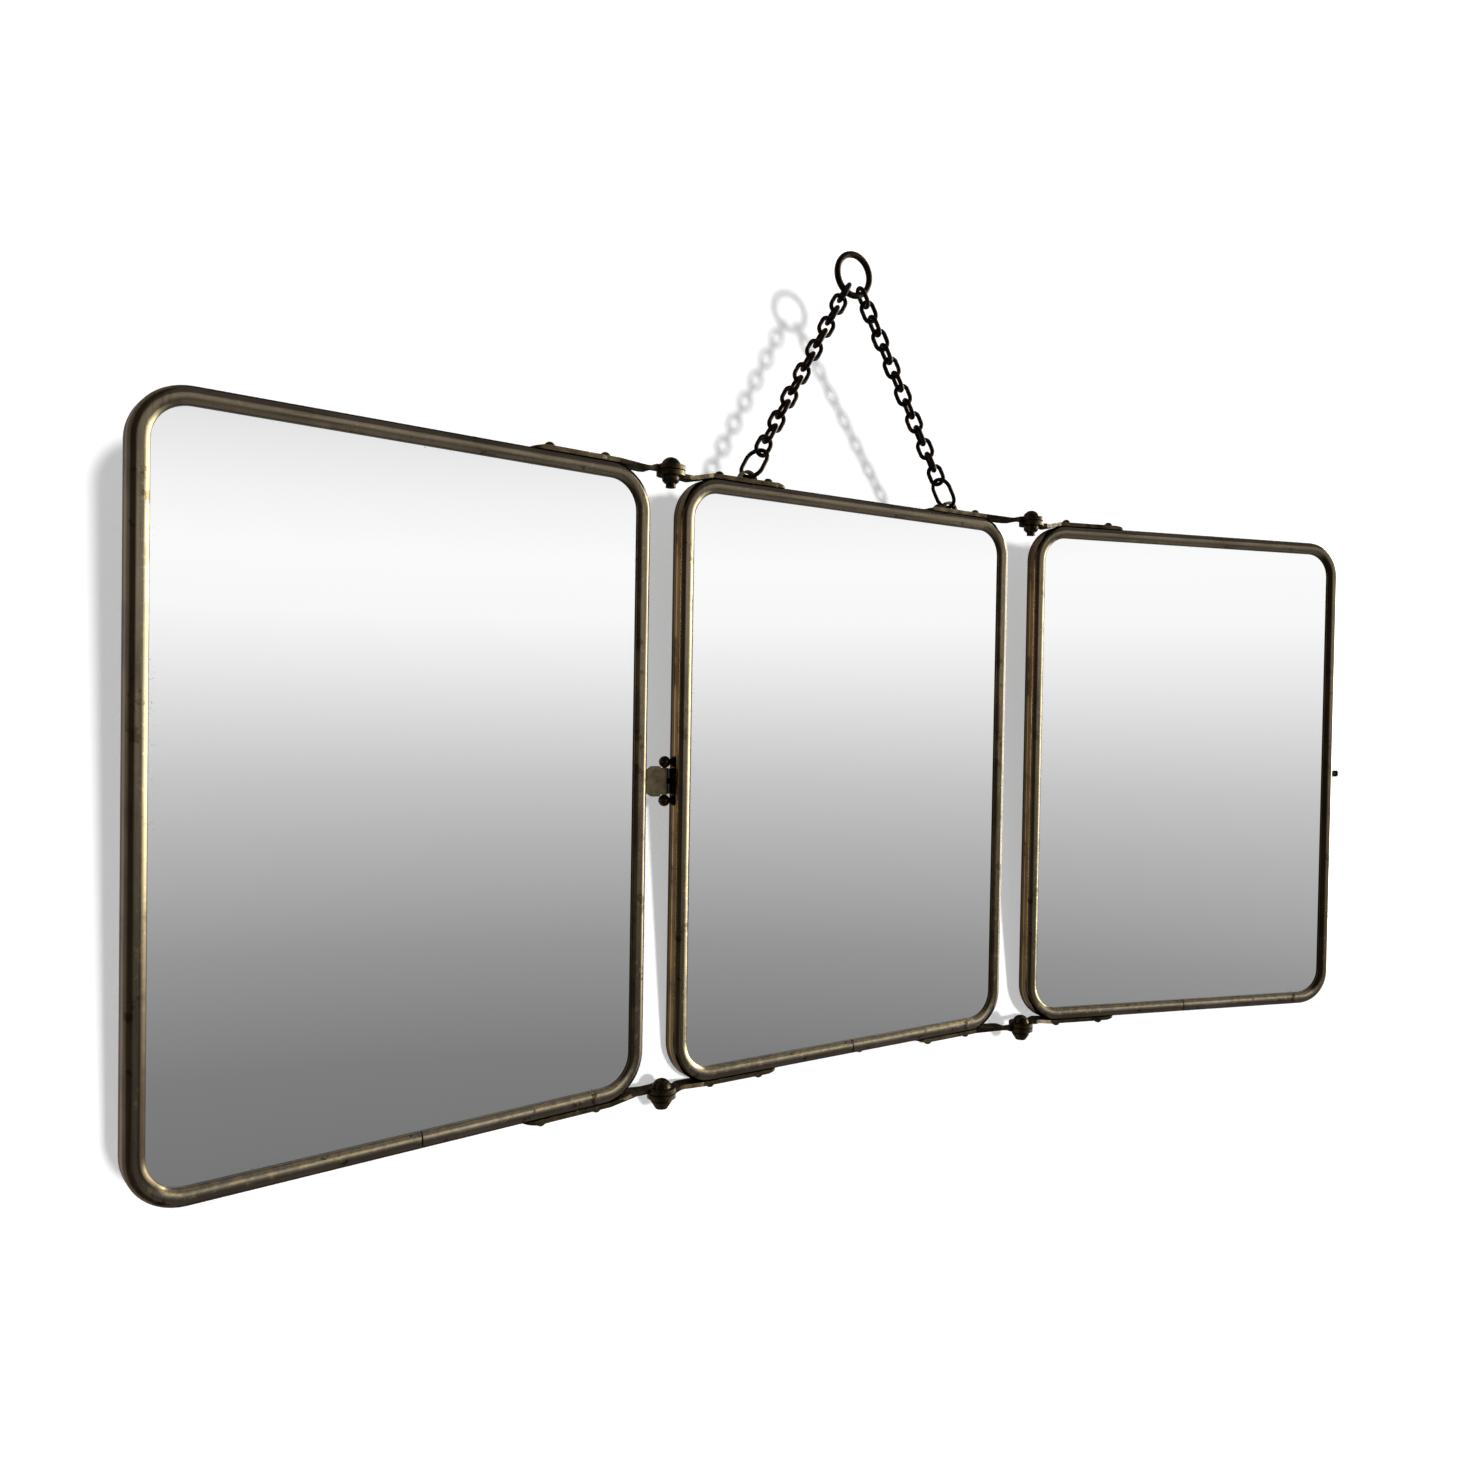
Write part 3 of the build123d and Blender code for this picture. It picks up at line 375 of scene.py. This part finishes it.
def rim_material(name, place, rail_shades):
    """Nickel plate gone brown, worn to brass on the inner flank and at the back, with shade and
    light painted into its tones.
    """
    made, graph = material(name)
    at = panel_coordinates(graph, place)
    patches = graph.noise(at.vector, scale=38.0, detail=6.0, roughness=0.62)
    specks = graph.noise(at.vector, scale=900.0, detail=3.0)
    at_side = graph.ramp(graph.size(at.x), *SIDE_RAILS)
    at_foot = graph.ramp(at.z, *BOTTOM_RAIL)
    streaks = rim_streaks(graph, at, at_side)
    grime_and_shade = rim_grime_and_shade(graph, at)

    color = rim_plate(graph, at, patches, at_side, at_foot)
    color = graph.mix(graph.times(graph.ramp(streaks, 0.47, 0.68), 0.42), color, STREAK)
    color = graph.mix(graph.ramp(specks, 0.69, 0.74), color, SPECK)
    color = rim_wear(graph, at, color, patches, at_foot)
    color = rim_blots_and_shade(graph, at, color, rail_shades)
    color = rim_side(graph, at, color, patches)
    # dirt by the glass, and painted shade on the rear lip and underneath
    color = graph.mix(grime_and_shade, color, GRIME_AND_SHADE)

    roughness = graph.blend_numbers(graph.ramp(patches, 0.3, 0.7), 0.20, 0.12)
    roughness = graph.plus(roughness, graph.times(grime_and_shade, 0.2))
    normal = graph.bump(graph.plus(graph.times(streaks, 0.5), patches), strength=0.25,
                        distance=0.0001)
    graph.finish(graph.principled(color, roughness, normal=normal))
    return made


# ---------------------------------------------------------------- the other materials
def glass_material(name, place):
    """Silvered glass, with a few grey specks in the silver where it meets the rim."""
    made, graph = material(name)
    at = panel_coordinates(graph, place)
    specks = graph.ramp(graph.noise(at.vector, scale=1400.0, detail=2.0), 0.60, 0.70)
    clouds = graph.ramp(graph.noise(at.vector, scale=30.0, detail=5.0), 0.50, 0.66)
    aged = graph.times(graph.ramp(at.inward, *GLASS_EDGE), specks, clouds)
    color = graph.mix(graph.times(aged, 0.6), SILVER, AGED_SILVER)
    graph.finish(graph.principled(color, graph.blend_numbers(aged, 0.0, 0.22)))
    return made


def tarnished(name, dark, light, bare, scale=160.0, roughness=(0.52, 0.34),
              bare_from=(0.58, 0.70)):
    """Metal in two tones of tarnish with bare metal where the noise is highest, and a grainy bump.

    roughness is the dark tarnish's and the bare metal's, and bare_from is where in the noise the
    bare metal begins and is full.
    """
    made, graph = material(name)
    vector = graph.coordinates()
    patches = graph.noise(vector, scale, detail=6.0, roughness=0.65)
    grain = graph.noise(vector, scale=scale * 9.0, detail=3.0)
    color = graph.mix(graph.ramp(patches, 0.30, 0.66), dark, light)
    worn = graph.ramp(graph.plus(graph.times(patches, 0.75), graph.times(grain, 0.25)), *bare_from)
    color = graph.mix(worn, color, bare)
    smooth = graph.math("MAXIMUM", worn, graph.ramp(patches, 0.35, 0.65))
    normal = graph.bump(graph.plus(patches, graph.times(grain, 0.5)), strength=0.35,
                        distance=0.0001)
    graph.finish(graph.principled(color, graph.blend_numbers(smooth, *roughness), normal=normal))
    return made


def board_material():
    """Brown packing board, with fibres."""
    made, graph = material("packing_board")
    vector = graph.stretched(graph.coordinates(), (1.0, 1.0, 5.0))
    fibres = graph.noise(vector, scale=700.0, detail=5.0)
    color = graph.mix(graph.ramp(fibres, 0.3, 0.7), *BOARD)
    normal = graph.bump(fibres, strength=0.4, distance=0.0001)
    graph.finish(graph.principled(color, roughness=0.9, metallic=0.0, normal=normal))
    return made


def back_material():
    """Black japanned sheet: worn brown in places, scratched, and dusty."""
    made, graph = material("japanned_back")
    vector = graph.coordinates()
    patches = graph.noise(vector, scale=22.0, detail=7.0, roughness=0.6)
    dust = graph.noise(vector, scale=260.0, detail=5.0)
    scratches = graph.noise(graph.stretched(vector, (1.0, 1.0, 0.06)), scale=900.0, detail=2.0)
    color = graph.mix(graph.ramp(patches, 0.40, 0.68), *JAPANNING)
    color = graph.mix(graph.times(graph.ramp(dust, 0.42, 0.80), 0.24), color, DUST)
    color = graph.mix(graph.times(graph.ramp(scratches, 0.70, 0.74), 0.5), color, SCRATCH)
    roughness = graph.blend_numbers(graph.ramp(patches, 0.3, 0.7), 0.38, 0.6)
    normal = graph.bump(graph.plus(patches, graph.times(dust, 0.2)), strength=0.3,
                        distance=0.0003)
    graph.finish(graph.principled(color, roughness, metallic=0.25, normal=normal))
    return made


def paint_nodes():
    """Gives each node the material that goes with the end of its name."""
    finishes = {"packing_card": board_material(), "back_plate": back_material()}
    for name, (dark, light, bare, numbers) in METALS.items():
        finishes |= dict.fromkeys(METAL_NODES[name], tarnished(name, dark, light, bare, **numbers))
    for panel, place in panel_places().items():
        finishes[f"{panel}_rim"] = rim_material(f"{panel}_rim_nickel", place, RAIL_SHADES[panel])
        finishes[f"{panel}_glass"] = glass_material(f"{panel}_silvered_glass", place)
    for name, node in frame["nodes"].items():
        ending = max((key for key in finishes if name.endswith(key)), key=len)
        for slot in node.material_slots:
            slot.material = finishes[ending]


# ---------------------------------------------------------------- studio
def plane(name, corners, fill):
    """A flat sheet of paper of the stage, out of sight to reflections."""
    mesh = bpy.data.meshes.new(name)
    mesh.from_pydata(corners, [], [range(len(corners))])
    made = bpy.data.objects.new(name, mesh)
    bpy.context.scene.collection.objects.link(made)
    finish, graph = material(f"{name}_paper")
    fill(graph)
    mesh.materials.append(finish)
    made.visible_glossy = False


def paper(graph, glow):
    """White paper that reads as white to the camera where nothing shades it."""
    color = graph.mix(graph.noise(graph.coordinates(), scale=400.0, detail=3.0), *PAPER)
    seen = graph.node("ShaderNodeLightPath").outputs["Is Camera Ray"]
    diffuse = graph.node("ShaderNodeBsdfDiffuse", {"Color": color})
    light = graph.node("ShaderNodeEmission", {"Strength": graph.times(seen, glow)})
    both = graph.node("ShaderNodeAddShader", {0: diffuse.outputs[0], 1: light.outputs[0]})
    return both.outputs[0]


def one_sided_paper(graph):
    """The backdrop's paper, clear from behind."""
    behind = graph.node("ShaderNodeNewGeometry").outputs["Backfacing"]
    clear = graph.node("ShaderNodeBsdfTransparent").outputs[0]
    choice = graph.node("ShaderNodeMixShader", {0: behind, 1: paper(graph, WALL_GLOW), 2: clear})
    graph.finish(choice.outputs[0])


def floor_paper(graph):
    graph.finish(paper(graph, FLOOR_GLOW))


def make_stage():
    """The leaning backdrop just behind the mirror, which its shadows fall on, and a floor."""
    side = STAGE_SIDE_X
    foot_y, top_y = (WALL_Y + WALL_LEAN * z for z in (FLOOR_Z, WALL_TOP_Z))
    plane("backdrop", [(-side, foot_y, FLOOR_Z), (side, foot_y, FLOOR_Z),
                       (side, top_y, WALL_TOP_Z), (-side, top_y, WALL_TOP_Z)], one_sided_paper)
    plane("floor", [(-side, FLOOR_NEAR_Y, FLOOR_Z), (side, FLOOR_NEAR_Y, FLOOR_Z),
                    (side, FLOOR_FAR_Y, FLOOR_Z), (-side, FLOOR_FAR_Y, FLOOR_Z)], floor_paper)


def soft_gradient(graph, slope):
    """GRADIENT by the ray's slope."""
    heights = graph.node("ShaderNodeMapRange", {"Value": slope, "From Min": -GRADIENT_REACH,
                                                "From Max": GRADIENT_REACH})
    tones = graph.node("ShaderNodeValToRGB", {0: heights.outputs[0]})
    ramp = tones.color_ramp
    while len(ramp.elements) < len(GRADIENT):
        ramp.elements.new(0.5)
    for element, (height, tone) in zip(ramp.elements, GRADIENT):
        element.position = (height + GRADIENT_REACH) / (2 * GRADIENT_REACH)
        element.color = (tone, tone, tone, 1.0)
    return tones.outputs[0]


def room_in_metal(graph, slope, bearing, gradient):
    """The gradient to the front, the other parts of the room over it, and the bright window."""
    measures = {"slope": slope, "bearing": bearing, "turn": graph.size(bearing)}
    room = gradient
    for measure, begins, full, tone in ROOM:
        room = graph.mix(graph.ramp(measures[measure], begins, full), room, tone)
    window = graph.mix(graph.ramp(bearing, *PANE_BEGINS), FRAME_TONE, PANE_TONE)
    window = graph.mix(graph.ramp(slope, *SILL), SILL_TONE, window)
    in_window = graph.times(graph.ramp(graph.size(slope), *WINDOW_REACH),
                            graph.ramp(bearing, *WINDOW_ENDS), graph.ramp(bearing, *WINDOW_BEGINS))
    return graph.mix(in_window, room, window)


def make_world():
    """White to the camera and plain to matt surfaces. Metal shows a room, and glass a gradient."""
    world = bpy.data.worlds.new("studio")
    bpy.context.scene.world = world
    graph = Graph(world)
    x, y, z = graph.split(graph.node("ShaderNodeTexCoord").outputs["Generated"])
    level = graph.math("SQRT", graph.plus(graph.times(x, x), graph.times(y, y)))
    slope = graph.math("DIVIDE", z, graph.math("MAXIMUM", level, LEAST_LEVEL_RUN))
    bearing = graph.math("ARCTAN2", x, graph.times(y, -1.0))
    gradient = soft_gradient(graph, slope)
    in_metal = room_in_metal(graph, slope, bearing, gradient)
    in_glass = graph.mix(graph.ramp(slope, *BELOW_GRADIENT), gradient, BELOW_GREY)
    in_glass = graph.mix(graph.ramp(slope, *ABOVE_GRADIENT), in_glass, ABOVE_GREY)

    # only the glass reflects perfectly sharply, which is what Is Singular Ray tells
    ray = graph.node("ShaderNodeLightPath").outputs
    reflected = graph.mix(ray["Is Singular Ray"], in_metal, in_glass)
    # reflections count where the camera sees them, and don't light the backdrop off the metal
    plain = graph.mix(ray["Is Camera Ray"], MATT_LIGHT, SEEN_WHITE)
    seen = graph.times(ray["Is Glossy Ray"], graph.math("LESS_THAN", ray["Diffuse Depth"], 0.5))
    background = graph.node("ShaderNodeBackground", {"Color": graph.mix(seen, plain, reflected)})
    graph.finish(background.outputs[0], "ShaderNodeOutputWorld")


def make_sun(name, energy, width, direction):
    """A sun that shines along direction, width degrees across, and isn't seen in reflections."""
    data = bpy.data.lights.new(name, "SUN")
    data.energy, data.angle = energy, math.radians(width)
    sun = bpy.data.objects.new(name, data)
    sun.visible_glossy = False
    sun.rotation_mode = "QUATERNION"
    sun.rotation_quaternion = Vector(direction).to_track_quat("-Z", "Y")
    bpy.context.scene.collection.objects.link(sun)
    return sun


def make_lights():
    """The key light from the front, and a fill on the back that the paper doesn't stop or show."""
    make_sun("key", energy=2.0, width=6, direction=(-0.111, 1.0, -0.113))
    fill = make_sun("fill", energy=1.8, width=25, direction=(-0.30, -1.0, -0.42))
    paper_only = bpy.data.collections.new("paper")
    for name in ("backdrop", "floor"):
        paper_only.objects.link(bpy.data.objects[name])
    fill.light_linking.receiver_collection = paper_only
    fill.light_linking.blocker_collection = paper_only
    for item in paper_only.collection_objects:
        item.light_linking.link_state = "EXCLUDE"


def make_camera():
    """The camera that was fitted to the photo."""
    yaw, pitch, roll = (math.radians(a) for a in (CAMERA_YAW, CAMERA_PITCH, CAMERA_ROLL))
    ahead = Vector((math.sin(yaw) * math.cos(pitch), math.cos(yaw) * math.cos(pitch),
                    math.sin(pitch)))
    right = Vector((math.cos(yaw), -math.sin(yaw), 0.0))
    up = right.cross(ahead)
    tilted_right = right * math.cos(roll) + up * math.sin(roll)
    tilted_up = up * math.cos(roll) - right * math.sin(roll)
    turn = Matrix((tilted_right, tilted_up, -ahead)).transposed()
    data = bpy.data.cameras.new("camera")
    data.sensor_width, data.lens = SENSOR_MM, LENS_MM
    data.clip_start, data.clip_end = 0.01, 50.0
    camera = bpy.data.objects.new("camera", data)
    camera.matrix_world = Matrix.Translation(CAMERA_AT) @ turn.to_4x4()
    bpy.context.scene.collection.objects.link(camera)
    bpy.context.scene.camera = camera


paint_nodes()
make_stage()
make_world()
make_lights()
make_camera()
bpy.context.scene.view_settings.view_transform = "Standard"
